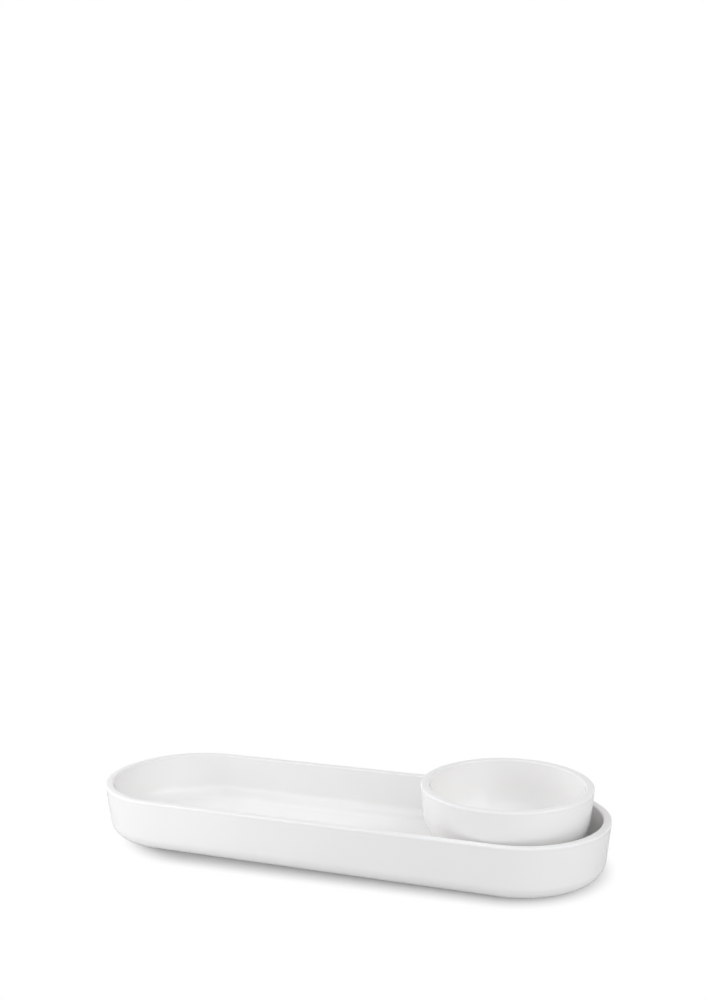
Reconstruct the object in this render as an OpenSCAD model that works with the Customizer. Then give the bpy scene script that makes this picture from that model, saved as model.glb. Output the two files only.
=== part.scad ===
// Olive dish in glazed porcelain: a long trough with round ends for the olives,
// and a loose round bowl for the stones that stands inside one end of it.
// The origin is on the table, under the middle of the trough. X runs along the trough.

/* [Tray] */
// Overall length across the rim
tray_length = 270; // [220:1:340]
// Overall width across the rim
tray_width = 90; // [80:1:120]
// Height of the rim above the table
tray_height = 27.5; // [20:0.5:45]
// Thickness of the wall at the rim
tray_wall = 4; // [3:0.1:6]
// Thickness of the floor above the foot
tray_floor = 4; // [3:0.1:7]
// Radius that rounds the wall into the underside
tray_edge_r = 8; // [4:0.5:12]
// Radius inside, where the wall meets the floor
tray_inner_r = 8; // [3:0.5:10]
// Width of the unglazed foot that runs round under the tray
tray_foot_w = 4; // [2:0.5:8]

/* [Bowl] */
// Height of the bowl from its foot to its rim
bowl_height = 38.6; // [32:0.1:60]
// Thickness of the bowl's wall and bottom
bowl_wall = 4; // [2.8:0.1:5]
// Radius that carries the bowl's wall round under it
bowl_curve_r = 27; // [16:0.5:28]
// Width of the bowl's unglazed foot ring
bowl_foot_w = 3; // [1.5:0.5:5]
// Gap between the bowl and the tray's wall on each side
bowl_gap = 0.7; // [0.5:0.1:4]
// Gap under the bowl's foot where it rests on the tray's floor
seat_gap = 0.02; // [0.01:0.01:0.3]
// How far the bowl stands in from the round end of the tray
bowl_shift = 5.2; // [0:0.1:60]

/* [Shared form] */
// Lean of the walls of both pieces from upright, in degrees
wall_lean = 5; // [0:0.5:8]
// Radius along both edges of each rim
rim_r = 0.8; // [0.4:0.1:1.4]
// Depth of the hollow inside each foot
foot_recess = 0.9; // [0.4:0.1:1.6]
// Radius along the edges of each foot
foot_r = 0.4; // [0.1:0.05:0.5]

/* [Hidden] */
$fn = 96;
porcelain = [0.95, 0.95, 0.94];
// How far a corner's circle stands proud of the two sides that it joins
proud = 0.003;

lean = tan(wall_lean);
// A rounded rim reaches this much less far out than its sharp corner
rim_loss = rim_r * (lean + 1 / cos(wall_lean) - 1);
// Tray outline: the rim's sharp corner, the straight run between the round ends,
// the sharp corner under the wall, the inner wall at the rim and at the floor
tray_r = tray_width / 2 + rim_loss;
tray_run = tray_length - tray_width;
tray_corner = tray_r - tray_height * lean;
tray_inside = tray_r - tray_wall;
tray_inside_floor = tray_inside - (tray_height - tray_floor) * lean;
// Bowl outline: its wall keeps the gap to the tray's inner wall, along the same lean
bowl_corner = tray_inside_floor - bowl_gap;
bowl_r = bowl_corner + bowl_height * lean;
bowl_inside = bowl_r - bowl_wall;
bowl_inside_floor = bowl_inside - (bowl_height - bowl_wall) * lean;
bowl_x = tray_run / 2 - bowl_shift;
// An edge radius meets a level face this share of the radius in from the sharp corner
edge_reach = tan((90 - wall_lean) / 2);
tray_foot = tray_corner - tray_edge_r * edge_reach;
bowl_foot = bowl_corner - bowl_curve_r * edge_reach;

function unit(v) = v / norm(v);
function flat(p) = [p[0], p[1]];
function turn(a, b) = a[0] * b[1] - a[1] * b[0];

// Corner number i of an outline of [x, y, radius] points:
// [start of its arc, end of its arc, centre, radius, 1 where it bulges and -1 where it is hollow]
function corner(points, i) =
    let (count = len(points),
         here = flat(points[i]),
         back = unit(flat(points[(i + count - 1) % count]) - here),
         ahead = unit(flat(points[(i + 1) % count]) - here),
         radius = points[i][2],
         half = acos(back * ahead) / 2,
         reach = radius / tan(half))
    [here + back * reach, here + ahead * reach,
     here + unit(back + ahead) * radius / sin(half),
     radius, turn(ahead, back) > 0 ? 1 : -1];

// The part of a corner's circle that lies beyond the straight line between its ends.
// It laps over that line, and the circle is proud of its sides, so that edges cross cleanly.
module arc_cap(c) {
    along = unit(c[1] - c[0]) * c[3];
    out = [along[1], -along[0]] * c[4];
    near = 0.25 * out;
    far = 2 * out;
    intersection() {
        translate(c[2]) circle(c[3] + proud);
        polygon([c[0] - along - near, c[1] + along - near, c[1] + along + far, c[0] - along + far]);
    }
}

// Closed outline through points listed anticlockwise, each corner rounded to its own radius
module rounded_outline(points) {
    corners = [for (i = [0:len(points) - 1]) if (points[i][2] > 0) corner(points, i)];
    straight = [for (i = [0:len(points) - 1])
        each points[i][2] > 0
            ? [corner(points, i)[0], corner(points, i)[1]]
            : [flat(points[i])]];
    difference() {
        union() {
            polygon(straight);
            for (c = corners) if (c[4] > 0) arc_cap(c);
        }
        for (c = corners) if (c[4] < 0) arc_cap(c);
    }
}

// Half section of a dish, from its middle out to its wall
module dish_section(foot, foot_w, sharp, edge_r, rim, height, inside, inside_floor, floor, inner_r) {
    rounded_outline([
        [0, foot_recess, 0],
        [foot - foot_w, foot_recess, foot_r],
        [foot - foot_w, 0, foot_r],
        [sharp, 0, edge_r],
        [rim, height, rim_r],
        [inside, height, rim_r],
        [inside_floor, floor, inner_r],
        [0, floor, 0]]);
}

module tray_section() {
    dish_section(tray_foot, tray_foot_w, tray_corner, tray_edge_r, tray_r, tray_height,
                 tray_inside, tray_inside_floor, tray_floor, tray_inner_r);
}

module bowl_section() {
    dish_section(bowl_foot, bowl_foot_w, bowl_corner, bowl_curve_r, bowl_r, bowl_height,
                 bowl_inside, bowl_inside_floor, bowl_wall, bowl_curve_r - bowl_wall);
}

// Trough: one section swept along the straight run and turned round both ends
module olive_tray() {
    color(porcelain) union() {
        rotate([90, 0, 90]) linear_extrude(height = tray_run, center = true) {
            tray_section();
            mirror([1, 0]) tray_section();
        }
        for (end = [-1, 1])
            translate([end * tray_run / 2, 0, 0])
                rotate([0, 0, -90 * end]) rotate_extrude(angle = 180) tray_section();
    }
}

// Bowl for the stones, loose on the tray's floor
module stone_bowl() {
    color(porcelain) translate([bowl_x, 0, tray_floor + seat_gap]) rotate_extrude() bowl_section();
}

olive_tray();
stone_bowl();
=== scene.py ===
"""Looks of the olive dish: a glazed porcelain trough and its loose bowl on a white studio floor."""

import math

import bmesh
import bpy
import numpy as np
from mathutils import Matrix, Vector


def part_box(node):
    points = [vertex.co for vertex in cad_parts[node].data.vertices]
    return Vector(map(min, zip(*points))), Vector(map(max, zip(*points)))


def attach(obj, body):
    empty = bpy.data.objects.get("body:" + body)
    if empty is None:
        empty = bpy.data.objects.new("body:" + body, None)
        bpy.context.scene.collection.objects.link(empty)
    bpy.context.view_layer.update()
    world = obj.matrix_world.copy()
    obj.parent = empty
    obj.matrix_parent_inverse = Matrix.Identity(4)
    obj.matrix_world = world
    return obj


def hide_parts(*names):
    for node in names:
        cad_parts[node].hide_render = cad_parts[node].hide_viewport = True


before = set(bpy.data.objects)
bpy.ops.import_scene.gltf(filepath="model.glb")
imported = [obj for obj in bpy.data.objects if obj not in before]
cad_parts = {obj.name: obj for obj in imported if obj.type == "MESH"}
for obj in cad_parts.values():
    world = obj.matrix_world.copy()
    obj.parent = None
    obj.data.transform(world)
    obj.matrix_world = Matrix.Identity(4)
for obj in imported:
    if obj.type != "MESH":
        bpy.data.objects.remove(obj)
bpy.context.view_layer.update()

MM = 0.001

# Sizes taken from the frame
TRAY_LOW, TRAY_HIGH = (np.array(corner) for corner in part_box("olive_tray"))
BOWL_LOW, BOWL_HIGH = (np.array(corner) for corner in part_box("stone_bowl"))
TRAY_LENGTH, TRAY_WIDTH, TRAY_HEIGHT = TRAY_HIGH - TRAY_LOW
BOWL_WIDTH, BOWL_HEIGHT = (BOWL_HIGH - BOWL_LOW)[1:]
BOWL_CENTRE = (BOWL_HIGH[0] + BOWL_LOW[0]) / 2

# Sizes of the ware that a bounding box doesn't give
WALL_LEAN = math.radians(5)
TRAY_WALL = 4 * MM
TRAY_FLOOR = 4 * MM
TRAY_EDGE_RADIUS = 8 * MM
TRAY_COVE_RADIUS = 8 * MM
TRAY_FOOT_WIDTH = 4 * MM
BOWL_WALL = 4 * MM
BOWL_CURVE_RADIUS = 27 * MM
BOWL_FOOT_WIDTH = 3 * MM
RIM_RADIUS = 0.8 * MM
FOOT_RADIUS = 0.4 * MM
FOOT_RECESS = 0.9 * MM

# Fineness of the surfaces
SECTION_STEP = 1.6 * MM
SECTION_CROWDING = 0.6
ARC_STEP = math.radians(9)
ARC_POINTS = 5
ROUND_STEPS = 108
RUN_STEP = 2.5 * MM
MERGE_DISTANCE = 1e-7

# How the kiln leaves the ware: a slow wave in the wall, glaze that flows from edges into hollows,
# and a foot that is bare up to this height
WALL_WAVE = 0.12 * MM
RIM_WAVE = 0.08 * MM
TRAY_PHASE = 0.7
BOWL_PHASE = 2.1
GLAZE_FLOW = 1.0 * MM
GLAZE_GATHER = 6 * MM
GATHER_LIMITS = (-3, 1)
BARE_HEIGHT = 0.5 * FOOT_RADIUS

# Colours of glaze and clay
GLAZE_WHITE = (0.905, 0.9, 0.885, 1)
POOLED_WHITE = (0.895, 0.892, 0.874, 1)
# thin glaze over the rims: partly a darker white where the body shows, partly painted shade that dims the lit
# rims
THIN_WHITE_AND_RIM_SHADE = (0.87, 0.868, 0.856, 1)
CLOUD_TINT = (0.97, 0.972, 0.975, 1)
SPECK_BROWN = (0.5, 0.44, 0.36, 1)
FIRED_CLAY = (0.75, 0.72, 0.67, 1)

# Where glaze counts as pooled or thin, the thin rims also taking painted shade, and its clouds, specks and
# ripple
POOLED_RANGE = (0.05, 0.8)
THIN_RIM_SHADE_RANGE = (-2.2, -3.0)
CLOUD_SCALE = 22
CLOUD_RANGE = (0.35, 0.7)
CLOUD_SHARE = 0.5
SPECK_SCALE = 120
SPECK_CHOICE = (0.955, 0.965)
SPECK_EDGE = (0.012, 0.03)
SPECK_SHARE = 0.45
RIPPLE_SCALE = 95
GRAIN_SCALE = 2600
GLAZE_RIPPLE = 0.03 * MM
TRAY_DRIFT = (0, 0, 0)
BOWL_DRIFT = (0.37, 0.11, 0.23)

# Polish: the smoothest glaze, what clouds and thin edges add to it, and bare clay
GLAZE_POLISH = 0.07
CLOUD_SATIN = 0.06
EDGE_SATIN = 0.26
CLAY_ROUGHNESS = 0.85
GLAZE_IOR = 1.52

# Floor: its colour by its own light, and the darker colour that the camera sees round the dish, a painted
# shade over the dish's real shadow
FLOOR_COLOUR = (0.75, 0.75, 0.75, 1)
FLOOR_ROUGHNESS = 0.9
FLOOR_LEVEL = -0.05 * MM
FLOOR_REACH = 6.0
SHADE_COLOUR = (0.262, 0.262, 0.262, 1)
SHADE_HAZE = 0.29
SHADE_FADE = (-7.8 * MM, 9.3 * MM)
SHADE_SHIFT = (7 * MM, 0, 0)
SHADE_TURN = (0, 0, math.radians(1.6))
SHADE_RUN = 156 * MM
MIRROR_FADE = (40 * MM, 400 * MM)

# Room, and the heights between which its white backdrop ends for mirror rays
ROOM_WHITE = (1.0, 1.0, 1.0, 1)
ROOM_LIGHT = 0.372
BACKDROP_TOP = (math.sin(math.radians(6)), math.sin(math.radians(24)))

# Lamps: name, direction from the dish, distance, width and height, power in watts, colour
DAYLIGHT = (0.98, 0.98, 1.0)
SKYLIGHT = (0.945, 0.948, 1.0)
LAMPS = (("left softbox", (-0.90, 0.0, 0.43), 1.2, (1.0, 0.9), 6.6, DAYLIGHT),
         ("right softbox", (0.80, -0.20, 0.57), 1.2, (1.1, 1.1), 5.3, DAYLIGHT),
         ("front softbox", (0.0, -0.60, 0.80), 1.2, (1.2, 1.0), 4.4, SKYLIGHT),
         ("back lamp", (-0.41, 0.31, 0.85), 1.2, (0.3, 0.3), 0.7, DAYLIGHT),
         ("right lamp", (0.68, -0.20, 0.70), 1.2, (0.25, 0.25), 0.45, DAYLIGHT),
         ("left card", (-0.14, -0.17, 0.09), 0.238, (0.12, 0.12), 0.065, DAYLIGHT),
         ("right card", (0.17, -0.11, 0.05), 0.209, (0.08, 0.08), 0.006, DAYLIGHT))

# Camera: picture height and focal length in pixels, the row of its axis, and azimuth, elevation and roll
PICTURE_HEIGHT = 1000
SENSOR = 36.0
FOCAL_PIXELS = 1084.9
AXIS_ROW = 700
CAMERA_ANGLES = (-21.212, 14.162, -0.8075)
CAMERA_AIM = (0.00582, 0, 0.07796)
CAMERA_DISTANCE = 0.54368
CAMERA_NEAREST = 0.01


# Shapes

def straight_points(start, end):
    """Points from start towards end, without the end, closer together near both ends.

    The share of the way at step k of n is a blend of k / n and the smooth step (1 - cos(pi k / n)) / 2.
    Only a line that starts in the middle of the dish keeps its first point, because an arc gave the others.
    """
    count = max(2, int(np.linalg.norm(end - start) / SECTION_STEP))
    even = np.arange(count) / count
    smooth = (1 - np.cos(math.pi * even)) / 2
    share = (1 - SECTION_CROWDING) * even + SECTION_CROWDING * smooth
    points = start + (end - start) * share[:, None]
    return points if start[0] == 0 else points[1:]


def rounded_section(corners):
    """Half section of a dish as points, with the bend of the line at each point.

    Each corner is (distance from the middle, height, radius). An arc of that radius touches the two
    straight sides that meet there: it starts radius / tan(half the corner's angle) before the corner and
    ends as far after it. Points are spread along the straights and round the arcs.
    The bend is 1 / radius on an arc, positive in a hollow and negative on an edge, and 0 on a straight.
    """
    points = np.array([corner[:2] for corner in corners])
    radii = np.array([corner[2] for corner in corners])
    runs, bends = [], []
    start = points[0]
    for here, before, after, radius in zip(points[1:-1], points[:-2], points[2:], radii[1:-1]):
        back = (before - here) / np.linalg.norm(before - here)
        ahead = (after - here) / np.linalg.norm(after - here)
        half = math.acos(np.clip(back @ ahead, -1, 1)) / 2
        turned = np.sign(ahead[0] * back[1] - ahead[1] * back[0])
        centre = here + (back + ahead) / np.linalg.norm(back + ahead) * radius / math.sin(half)
        first = here + back * radius / math.tan(half)
        sweep = (math.pi - 2 * half) * turned
        angles = np.linspace(0, sweep, max(ARC_POINTS, int(abs(sweep) / ARC_STEP) + 1))
        spoke = first - centre
        arc = centre + np.stack([spoke[0] * np.cos(angles) - spoke[1] * np.sin(angles),
                                 spoke[0] * np.sin(angles) + spoke[1] * np.cos(angles)], 1)
        straight = straight_points(start, first)
        runs += [straight, arc]
        bends += [np.zeros(len(straight)), np.full(len(arc), -turned / radius)]
        start = arc[-1]
    last = straight_points(start, points[-1])
    runs += [last, points[-1:]]
    bends += [np.zeros(len(last)), np.zeros(1)]
    return np.concatenate(runs), np.concatenate(bends)


def dish_section(width, height, wall, floor, edge_radius, cove_radius, foot_width):
    """Corners of a dish's half section, and how far in and out its foot reaches.

    They run from the recess under the dish over the foot, the rounded underside, the leaning wall, the rim
    and the cove to the floor. The sharp corner of the rim stands out past the rounded rim by
    rim radius * (tan(lean) + 1 / cos(lean) - 1), and both sides of the wall lean alike.
    """
    lean = math.tan(WALL_LEAN)
    rim = width / 2 + RIM_RADIUS * (lean + 1 / math.cos(WALL_LEAN) - 1)
    under = rim - height * lean
    foot = under - edge_radius * math.tan((math.pi / 2 - WALL_LEAN) / 2)
    inside = rim - wall
    cove = inside - (height - floor) * lean
    corners = [(0, FOOT_RECESS, 0),
               (foot - foot_width, FOOT_RECESS, FOOT_RADIUS),
               (foot - foot_width, 0, FOOT_RADIUS),
               (under, 0, edge_radius),
               (rim, height, RIM_RADIUS),
               (inside, height, RIM_RADIUS),
               (cove, floor, cove_radius),
               (0, floor, 0)]
    return corners, (foot - foot_width, foot)


def oval_path(run, centre):
    """Path round a dish: a straight run on each side and a half circle at each end.

    Gives, for each step of the path, the x that the section's middle has there and the direction (x, y)
    in which the section points. With no run it is a circle.
    """
    turn = np.linspace(-math.pi / 2, math.pi / 2, ROUND_STEPS, endpoint=False)
    steps = int(run / RUN_STEP)
    along = np.linspace(run / 2, -run / 2, steps, endpoint=False) if steps else np.zeros(0)
    middle = np.concatenate([np.full(ROUND_STEPS, run / 2), along, np.full(ROUND_STEPS, -run / 2), -along])
    angle = np.concatenate([turn, np.full(steps, math.pi / 2),
                            turn + math.pi, np.full(steps, 1.5 * math.pi)])
    return middle + centre, np.cos(angle), np.sin(angle)


def glaze_gather(section, bends):
    """How thick the glaze lies at each point: the bend of the line, smoothed along it by a bell curve.

    It is positive where glaze gathers in a hollow and negative where it runs off an edge, and is kept
    within its limits.
    """
    steps = np.linalg.norm(np.diff(section, axis=0), axis=1)
    along = np.concatenate([[0], np.cumsum(steps)])
    share = np.gradient(along)
    bell = np.exp(-((along[:, None] - along[None, :]) / GLAZE_FLOW) ** 2 / 2) * share
    return np.clip(bell @ bends / bell.sum(1) * GLAZE_GATHER, *GATHER_LIMITS)


def carried_dish(name, shape, path, base, phase):
    """A dish: its half section carried along its path, and closed along the middle.

    A section point (r, z) comes to (middle + r * direction, base + z). Up the wall it also moves by a slow
    wave round the path, out by wave * sin(2 t + phase) and up by wave * sin(3 t - phase), in the share
    (z / height) squared, so the foot and the floor stay flat.
    """
    corners, (foot_start, foot_end) = shape
    section, bends = rounded_section(corners)
    middle, east, north = path
    turn = np.linspace(0, 2 * math.pi, len(middle), endpoint=False)
    radius, height = section[:, :1], section[:, 1:]
    lift = (height / height.max()) ** 2
    out = radius + lift * WALL_WAVE * np.sin(2 * turn + phase)
    up = height + lift * RIM_WAVE * np.sin(3 * turn - phase)
    grid = np.stack([middle + out * east, out * north, base + up], -1)
    rows, columns = grid.shape[:2]
    row, column = np.meshgrid(np.arange(rows - 1), np.arange(columns), indexing="ij")
    beside = (column + 1) % columns
    faces = np.stack([row * columns + column, row * columns + beside,
                      (row + 1) * columns + beside, (row + 1) * columns + column], -1).reshape(-1, 4)
    mesh = bpy.data.meshes.new(name)
    mesh.from_pydata(grid.reshape(-1, 3), [], faces)
    bare = (section[:, 1] < BARE_HEIGHT) & (section[:, 0] < foot_end + FOOT_RADIUS)
    bare &= section[:, 0] > foot_start - FOOT_RADIUS
    for label, values in (("gather", glaze_gather(section, bends)), ("bare", bare.astype(float))):
        layer = mesh.attributes.new(label, "FLOAT", "POINT")
        layer.data.foreach_set("value", np.repeat(values, columns).astype(np.float32))
    joined = bmesh.new()
    joined.from_mesh(mesh)
    bmesh.ops.remove_doubles(joined, verts=joined.verts, dist=MERGE_DISTANCE)
    joined.to_mesh(mesh)
    joined.free()
    mesh.shade_smooth()
    piece = bpy.data.objects.new(name, mesh)
    bpy.context.scene.collection.objects.link(piece)
    return piece


# Finishes

def node(tree, kind, place, **values):
    """Adds a shader node and sets its properties and, by socket name, its values."""
    made = tree.nodes.new(kind)
    made.location = place
    for key, value in values.items():
        if hasattr(made, key):
            setattr(made, key, value)
        else:
            made.inputs[key.replace("_", " ")].default_value = value
    return made


def glaze_skin():
    """Node group for clear glaze over white porcelain, from how thick the glaze lies and where it is bare.

    Colour: the glaze's white, slightly darker where it pools and on thin edges, with slow clouds, a few
    tiny specks, and plain fired clay where it is bare. On thin edges the darker white is partly thin glaze
    and partly painted shade that dims the lit rims. Roughness: a gloss that the clouds change a little,
    satin on thin edges and dull on clay. Height: the soft ripple of glaze, or clay grain.
    """
    group = bpy.data.node_groups.new("glaze skin", "ShaderNodeTree")
    face = group.interface
    for label, kind, value in (("Glaze", "NodeSocketColor", GLAZE_WHITE),
                               ("Pooled", "NodeSocketColor", POOLED_WHITE),
                               ("Thin glaze and shade", "NodeSocketColor", THIN_WHITE_AND_RIM_SHADE),
                               ("Clay", "NodeSocketColor", FIRED_CLAY),
                               ("Gather", "NodeSocketFloat", 0),
                               ("Bare", "NodeSocketFloat", 0),
                               ("Polish", "NodeSocketFloat", GLAZE_POLISH),
                               ("Drift", "NodeSocketVector", TRAY_DRIFT)):
        face.new_socket(label, in_out="INPUT", socket_type=kind).default_value = value
    for label, kind in (("Color", "NodeSocketColor"), ("Roughness", "NodeSocketFloat"),
                        ("Height", "NodeSocketFloat")):
        face.new_socket(label, in_out="OUTPUT", socket_type=kind)
    link = group.links.new
    given = node(group, "NodeGroupInput", (-1200, 0))
    put = node(group, "NodeGroupOutput", (900, 0))
    place = node(group, "ShaderNodeTexCoord", (-1200, -400))
    moved = node(group, "ShaderNodeVectorMath", (-1000, -400), operation="ADD")
    link(place.outputs["Object"], moved.inputs[0])
    link(given.outputs["Drift"], moved.inputs[1])

    def pattern(kind, place, **values):
        """A texture on the drifted Object coordinates."""
        made = node(group, kind, place, **values)
        link(moved.outputs[0], made.inputs["Vector"])
        return made

    def ramp(source, limits, place, low=0.0, high=1.0):
        """The source's way between two limits, as a value from low to high."""
        made = node(group, "ShaderNodeMapRange", place, From_Min=limits[0], From_Max=limits[1],
                    To_Min=low, To_Max=high)
        link(source, made.inputs["Value"])
        return made.outputs[0]

    def scaled(source, factor, place, added=None):
        """The source times a factor, with another value added where it is given."""
        made = node(group, "ShaderNodeMath", place, operation="MULTIPLY" if added is None else "MULTIPLY_ADD")
        link(source, made.inputs[0])
        made.inputs[1].default_value = factor
        if added is not None:
            link(added, made.inputs[2])
        return made.outputs[0]

    def blend(share, first, second, place, blend_type="MIX"):
        """A mix of a linked colour with a second one, linked or plain."""
        made = node(group, "ShaderNodeMix", place, data_type="RGBA", blend_type=blend_type)
        link(share, made.inputs[0])
        link(first, made.inputs[6])
        if isinstance(second, tuple):
            made.inputs[7].default_value = second
        else:
            link(second, made.inputs[7])
        return made.outputs[2]

    clouds = pattern("ShaderNodeTexNoise", (-800, -300), Scale=CLOUD_SCALE, Detail=3)
    ripple = pattern("ShaderNodeTexNoise", (-800, -550), Scale=RIPPLE_SCALE, Detail=1.5, Roughness=0.4)
    grain = pattern("ShaderNodeTexNoise", (-800, -800), Scale=GRAIN_SCALE, Detail=2)
    specks = pattern("ShaderNodeTexVoronoi", (-800, 300), Scale=SPECK_SCALE)
    chosen = ramp(specks.outputs["Color"], SPECK_CHOICE, (-600, 350))
    dot = ramp(specks.outputs["Distance"], SPECK_EDGE, (-600, 150), 1, 0)
    speck = node(group, "ShaderNodeMath", (-400, 250), operation="MULTIPLY")
    link(chosen, speck.inputs[0])
    link(dot, speck.inputs[1])
    speck_share = scaled(speck.outputs[0], SPECK_SHARE, (0, 250))
    cloud_share = ramp(clouds.outputs["Fac"], CLOUD_RANGE, (-600, -300), 0.0, CLOUD_SHARE)
    gathered = ramp(given.outputs["Gather"], POOLED_RANGE, (-900, 0))
    # thin rims: the mask for their painted shade and for their satin
    thin_rim_shade_and_satin = ramp(given.outputs["Gather"], THIN_RIM_SHADE_RANGE, (-900, 150))

    colour = blend(gathered, given.outputs["Glaze"], given.outputs["Pooled"], (-400, 0))
    # painted shade on the thin rims, together with the thin glaze's own darker white
    colour = blend(thin_rim_shade_and_satin, colour, given.outputs["Thin glaze and shade"], (-200, 0))
    colour = blend(cloud_share, colour, CLOUD_TINT, (0, 0), "MULTIPLY")
    colour = blend(speck_share, colour, SPECK_BROWN, (200, 0))
    colour = blend(given.outputs["Bare"], colour, given.outputs["Clay"], (400, 0))
    link(colour, put.inputs["Color"])

    polish = scaled(clouds.outputs["Fac"], CLOUD_SATIN, (0, -250), given.outputs["Polish"])
    satin = scaled(thin_rim_shade_and_satin, EDGE_SATIN, (200, -250), polish)
    rough = node(group, "ShaderNodeMix", (400, -250), data_type="FLOAT")
    link(given.outputs["Bare"], rough.inputs[0])
    link(satin, rough.inputs[2])
    rough.inputs[3].default_value = CLAY_ROUGHNESS
    link(rough.outputs[0], put.inputs["Roughness"])

    height = node(group, "ShaderNodeMix", (400, -550), data_type="FLOAT")
    link(given.outputs["Bare"], height.inputs[0])
    link(ripple.outputs["Fac"], height.inputs[2])
    link(grain.outputs["Fac"], height.inputs[3])
    link(height.outputs[0], put.inputs["Height"])
    return group


def porcelain(name, skin, drift):
    """White porcelain under a clear gloss glaze, drifted so that no two pieces share their clouds."""
    made = bpy.data.materials.new(name)
    made.use_nodes = True
    tree = made.node_tree
    shader = tree.nodes["Principled BSDF"]
    shader.inputs["IOR"].default_value = GLAZE_IOR
    shell = node(tree, "ShaderNodeGroup", (-400, 0), node_tree=skin)
    shell.inputs["Drift"].default_value = drift
    for label, place in (("gather", (-700, 0)), ("bare", (-700, -200))):
        layer = node(tree, "ShaderNodeAttribute", place, attribute_name=label)
        tree.links.new(layer.outputs["Fac"], shell.inputs[label.capitalize()])
    bump = node(tree, "ShaderNodeBump", (-150, -300), Strength=1.0, Distance=GLAZE_RIPPLE)
    tree.links.new(shell.outputs["Height"], bump.inputs["Height"])
    tree.links.new(bump.outputs["Normal"], shader.inputs["Normal"])
    tree.links.new(shell.outputs["Color"], shader.inputs["Base Color"])
    tree.links.new(shell.outputs["Roughness"], shader.inputs["Roughness"])
    return made


# Studio

def white_share(tree, place, mirrored, direct=None):
    """Share of plain white that a ray sees: direct for camera rays, mirrored for mirror and glass rays.

    Rays that carry soft light see none of it. Where direct isn't given, camera rays see nothing else.
    """
    path = node(tree, "ShaderNodeLightPath", place)
    shiny = node(tree, "ShaderNodeMath", (place[0] + 200, place[1] - 200), operation="MAXIMUM")
    tree.links.new(path.outputs["Is Glossy Ray"], shiny.inputs[0])
    tree.links.new(path.outputs["Is Transmission Ray"], shiny.inputs[1])
    mirror = node(tree, "ShaderNodeMath", (place[0] + 400, place[1] - 200), operation="MULTIPLY")
    tree.links.new(shiny.outputs[0], mirror.inputs[0])
    tree.links.new(mirrored, mirror.inputs[1])
    camera = path.outputs["Is Camera Ray"]
    if direct is not None:
        view = node(tree, "ShaderNodeMath", (place[0] + 400, place[1]), operation="MULTIPLY")
        tree.links.new(camera, view.inputs[0])
        tree.links.new(direct, view.inputs[1])
        camera = view.outputs[0]
    seen = node(tree, "ShaderNodeMath", (place[0] + 600, place[1]), operation="MAXIMUM")
    tree.links.new(camera, seen.inputs[0])
    tree.links.new(mirror.outputs[0], seen.inputs[1])
    return seen.outputs[0]


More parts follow.
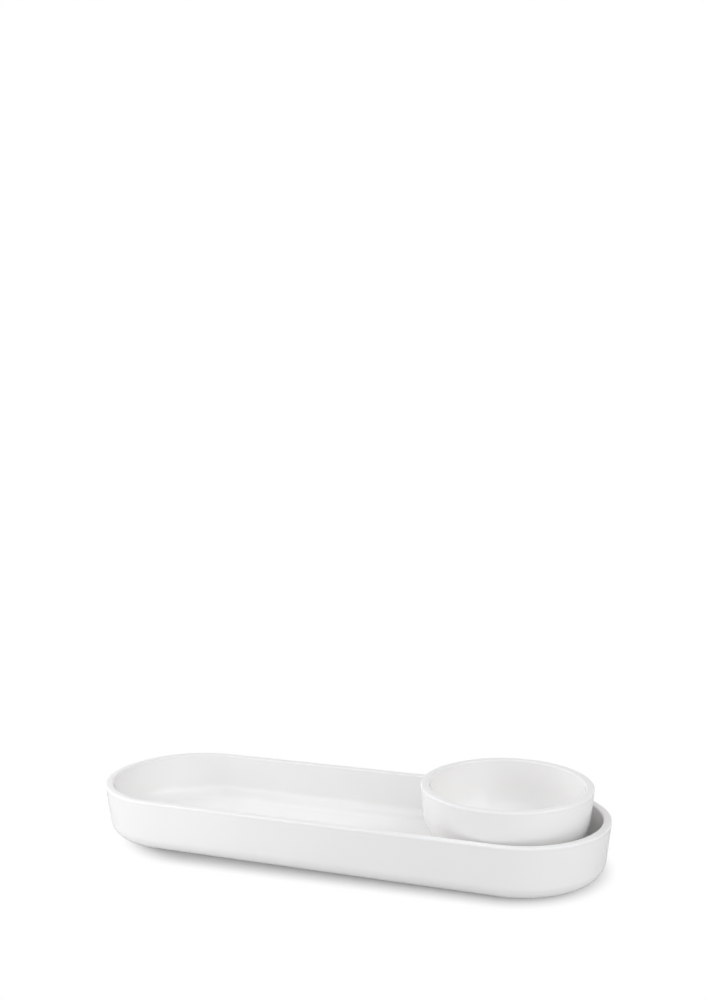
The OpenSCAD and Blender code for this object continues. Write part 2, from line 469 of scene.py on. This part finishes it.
def white_floor():
    """Flat white floor with a soft shade round the dish, partly its real shadow and partly painted shade.

    The camera sees a greyer floor colour close to the dish, a painted shade over the floor's own light
    and the dish's real shadow, partly whitened, and plain white further out. Mirror rays see white only well
    away from it. All other rays see the floor's own light.
    How far a point lies is its distance from a line of the shade's run, shifted and turned under the dish.
    """
    mesh = bpy.data.meshes.new("studio_floor")
    mesh.from_pydata([(-FLOOR_REACH, -FLOOR_REACH, FLOOR_LEVEL), (FLOOR_REACH, -FLOOR_REACH, FLOOR_LEVEL),
                      (FLOOR_REACH, FLOOR_REACH, FLOOR_LEVEL), (-FLOOR_REACH, FLOOR_REACH, FLOOR_LEVEL)],
                     [], [(0, 1, 2, 3)])
    floor = bpy.data.objects.new("studio_floor", mesh)
    bpy.context.scene.collection.objects.link(floor)
    made = bpy.data.materials.new("studio white")
    made.use_nodes = True
    tree = made.node_tree
    shader = tree.nodes["Principled BSDF"]
    shader.inputs["Roughness"].default_value = FLOOR_ROUGHNESS
    shader.inputs["Specular IOR Level"].default_value = 0
    # painted shade: camera rays see the darker shade colour in place of the floor colour, over the real
    # shadow
    seen = node(tree, "ShaderNodeLightPath", (-600, 300))
    colour = node(tree, "ShaderNodeMix", (-300, 200), data_type="RGBA")
    tree.links.new(seen.outputs["Is Camera Ray"], colour.inputs[0])
    colour.inputs[6].default_value = FLOOR_COLOUR
    colour.inputs[7].default_value = SHADE_COLOUR
    tree.links.new(colour.outputs[2], shader.inputs["Base Color"])

    place = node(tree, "ShaderNodeTexCoord", (-1800, -300))
    centred = node(tree, "ShaderNodeMapping", (-1600, -300), vector_type="TEXTURE",
                   Location=SHADE_SHIFT, Rotation=SHADE_TURN)
    tree.links.new(place.outputs["Object"], centred.inputs["Vector"])
    folded = node(tree, "ShaderNodeVectorMath", (-1400, -300), operation="ABSOLUTE")
    tree.links.new(centred.outputs[0], folded.inputs[0])
    past = node(tree, "ShaderNodeVectorMath", (-1200, -300), operation="SUBTRACT")
    tree.links.new(folded.outputs[0], past.inputs[0])
    past.inputs[1].default_value = (SHADE_RUN / 2, 0, 0)
    beyond = node(tree, "ShaderNodeVectorMath", (-1000, -300), operation="MAXIMUM")
    tree.links.new(past.outputs[0], beyond.inputs[0])
    far = node(tree, "ShaderNodeVectorMath", (-800, -300), operation="LENGTH")
    tree.links.new(beyond.outputs[0], far.inputs[0])

    def whitening(fade, least, place):
        """Share of white, from the least to all over a band that lies past the tray's width."""
        made = node(tree, "ShaderNodeMapRange", place, interpolation_type="SMOOTHSTEP", To_Min=least,
                    From_Min=TRAY_WIDTH / 2 + fade[0], From_Max=TRAY_WIDTH / 2 + fade[1])
        tree.links.new(far.outputs["Value"], made.inputs["Value"])
        return made.outputs[0]

    shown = white_share(tree, (-600, -500), whitening(MIRROR_FADE, 0, (-600, -800)),
                        whitening(SHADE_FADE, SHADE_HAZE, (-600, -200)))
    white = node(tree, "ShaderNodeEmission", (0, -300), Strength=1.0)
    both = node(tree, "ShaderNodeMixShader", (300, 0))
    tree.links.new(shown, both.inputs[0])
    tree.links.new(shader.outputs[0], both.inputs[1])
    tree.links.new(white.outputs[0], both.inputs[2])
    tree.links.new(both.outputs[0], tree.nodes["Material Output"].inputs["Surface"])
    mesh.materials.append(made)


def white_room():
    """White surroundings: plain white for the camera, and a soft even light otherwise.

    Mirror rays see white up to the backdrop's top, and the soft light above it.
    """
    world = bpy.data.worlds.new("white room")
    bpy.context.scene.world = world
    world.use_nodes = True
    tree = world.node_tree
    sky = tree.nodes["Background"]
    sky.inputs["Color"].default_value = ROOM_WHITE
    place = node(tree, "ShaderNodeTexCoord", (-1700, -200))
    parts = node(tree, "ShaderNodeSeparateXYZ", (-1500, -200))
    tree.links.new(place.outputs["Generated"], parts.inputs[0])
    backdrop = node(tree, "ShaderNodeMapRange", (-1300, -200), interpolation_type="SMOOTHSTEP",
                    From_Min=BACKDROP_TOP[0], From_Max=BACKDROP_TOP[1], To_Min=1.0, To_Max=0.0)
    tree.links.new(parts.outputs["Z"], backdrop.inputs["Value"])
    strength = node(tree, "ShaderNodeMapRange", (-200, -200), To_Min=ROOM_LIGHT, To_Max=1.0)
    tree.links.new(white_share(tree, (-1000, -200), backdrop.outputs[0]), strength.inputs["Value"])
    tree.links.new(strength.outputs[0], sky.inputs["Strength"])


def softbox(name, towards, distance, size, power, colour):
    """Rectangular lamp at a distance in a direction from the dish, facing it."""
    lamp = bpy.data.lights.new(name, "AREA")
    lamp.shape = "RECTANGLE"
    lamp.size, lamp.size_y = size
    lamp.energy = power
    lamp.color = colour
    away = np.array(towards) / np.linalg.norm(towards)
    made = bpy.data.objects.new(name, lamp)
    made.location = away * distance
    made.rotation_euler = Vector(away).to_track_quat("Z", "Y").to_euler()
    made.visible_camera = False
    bpy.context.scene.collection.objects.link(made)


def photograph_camera():
    """Camera at the photograph's viewing angle, aimed at a point above the dish.

    Its view runs along (sin a cos e, cos a cos e, -sin e) for azimuth a and elevation e, and is rolled
    about that line. The picture's middle row is shifted to the row of the camera's axis.
    """
    azimuth, elevation, roll = (math.radians(angle) for angle in CAMERA_ANGLES)
    ahead = np.array([math.sin(azimuth) * math.cos(elevation),
                      math.cos(azimuth) * math.cos(elevation), -math.sin(elevation)])
    right = np.cross(ahead, (0, 0, 1))
    right /= np.linalg.norm(right)
    up = np.cross(right, ahead)
    across = math.cos(roll) * right + math.sin(roll) * up
    upright = math.cos(roll) * up - math.sin(roll) * right
    lens = bpy.data.cameras.new("camera")
    lens.sensor_width = SENSOR
    lens.lens = FOCAL_PIXELS / PICTURE_HEIGHT * SENSOR
    lens.shift_y = (AXIS_ROW - PICTURE_HEIGHT / 2) / PICTURE_HEIGHT
    lens.clip_start = CAMERA_NEAREST
    made = bpy.data.objects.new("camera", lens)
    turn = np.eye(4)
    turn[:3, 0], turn[:3, 1], turn[:3, 2] = across, upright, -ahead
    turn[:3, 3] = np.array(CAMERA_AIM) - ahead * CAMERA_DISTANCE
    made.matrix_world = Matrix(turn.tolist())
    bpy.context.scene.collection.objects.link(made)
    bpy.context.scene.camera = made


skin = glaze_skin()
tray = carried_dish("tray_porcelain",
                    dish_section(TRAY_WIDTH, TRAY_HEIGHT, TRAY_WALL, TRAY_FLOOR,
                                 TRAY_EDGE_RADIUS, TRAY_COVE_RADIUS, TRAY_FOOT_WIDTH),
                    oval_path(TRAY_LENGTH - TRAY_WIDTH, 0), TRAY_LOW[2], TRAY_PHASE)
tray.data.materials.append(porcelain("tray glaze", skin, TRAY_DRIFT))
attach(tray, "tray")
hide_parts("olive_tray")

bowl = carried_dish("bowl_porcelain",
                    dish_section(BOWL_WIDTH, BOWL_HEIGHT, BOWL_WALL, BOWL_WALL,
                                 BOWL_CURVE_RADIUS, BOWL_CURVE_RADIUS - BOWL_WALL, BOWL_FOOT_WIDTH),
                    oval_path(0, BOWL_CENTRE), BOWL_LOW[2], BOWL_PHASE)
bowl.data.materials.append(porcelain("bowl glaze", skin, BOWL_DRIFT))
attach(bowl, "bowl")
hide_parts("stone_bowl")

white_floor()
white_room()
for lamp in LAMPS:
    softbox(*lamp)
photograph_camera()
bpy.context.scene.view_settings.view_transform = "Standard"
